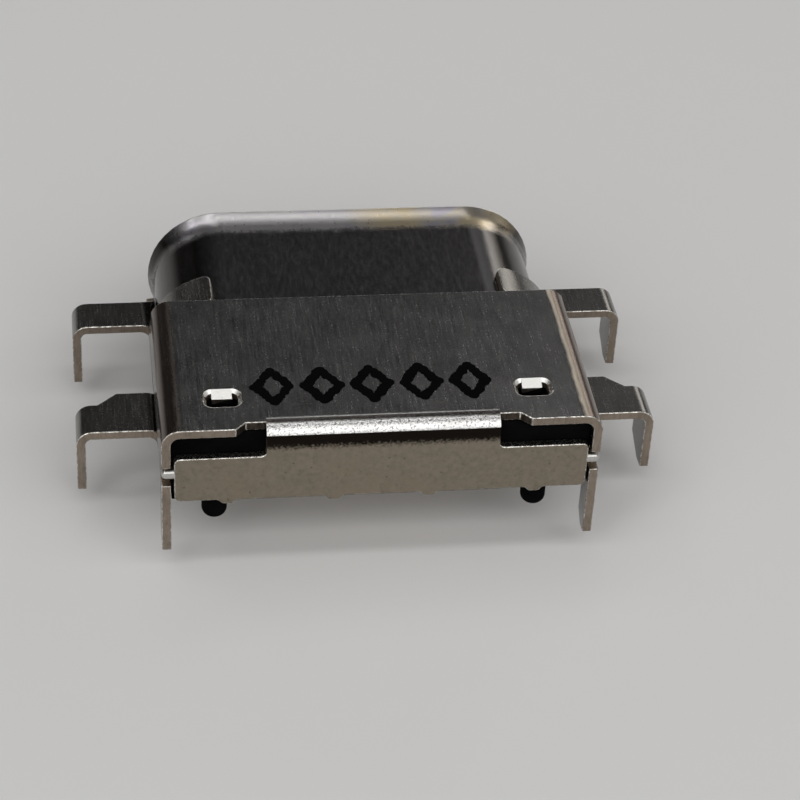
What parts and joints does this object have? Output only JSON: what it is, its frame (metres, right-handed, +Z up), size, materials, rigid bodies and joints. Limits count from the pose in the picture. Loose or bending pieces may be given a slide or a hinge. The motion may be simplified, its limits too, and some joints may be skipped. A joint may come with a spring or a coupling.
{
  "type": "usb-c socket",
  "caption": "Board-edge socket for a reversible plug: drawn steel tube, folded rear cover, legged cradle, black base with locating pegs and a tongue with gold contacts.",
  "frame": {"origin": "on the board's top plane, midway between the two locating pegs", "axes": "+X to the right seen from behind, +Y out of the plug mouth, +Z up from the board"},
  "size_m": [0.0128, 0.0087, 0.0035],
  "materials": {
    "cover_steel": "satin",
    "tube_steel": "drawn",
    "bracket_steel": "satin",
    "black_moulding": "moulded",
    "tongue_moulding": "moulded",
    "plate_steel": "rolled",
    "pad_steel": "plated",
    "contact_plating": "gold plated"
  },
  "bodies": {
    "root": {"front_shell": "tube_steel", "rear_cover": "cover_steel", "leg_bracket": "bracket_steel", "housing": "black_moulding", "upper_insert": "tongue_moulding", "lower_insert": "tongue_moulding", "mid_plate": "plate_steel", "upper_ground_pad": "pad_steel", "lower_ground_pad": "pad_steel", "contact_a1": "contact_plating", "contact_a2": "contact_plating", "contact_a3": "contact_plating", "contact_a4": "contact_plating", "contact_a5": "contact_plating", "contact_a6": "contact_plating", "contact_a7": "contact_plating", "contact_a8": "contact_plating", "contact_a9": "contact_plating", "contact_a10": "contact_plating", "contact_a11": "contact_plating", "contact_a12": "contact_plating", "contact_b1": "contact_plating", "contact_b2": "contact_plating", "contact_b3": "contact_plating", "contact_b4": "contact_plating", "contact_b5": "contact_plating", "contact_b6": "contact_plating", "contact_b7": "contact_plating", "contact_b8": "contact_plating", "contact_b9": "contact_plating", "contact_b10": "contact_plating", "contact_b11": "contact_plating", "contact_b12": "contact_plating"}
  },
  "joints": []
}
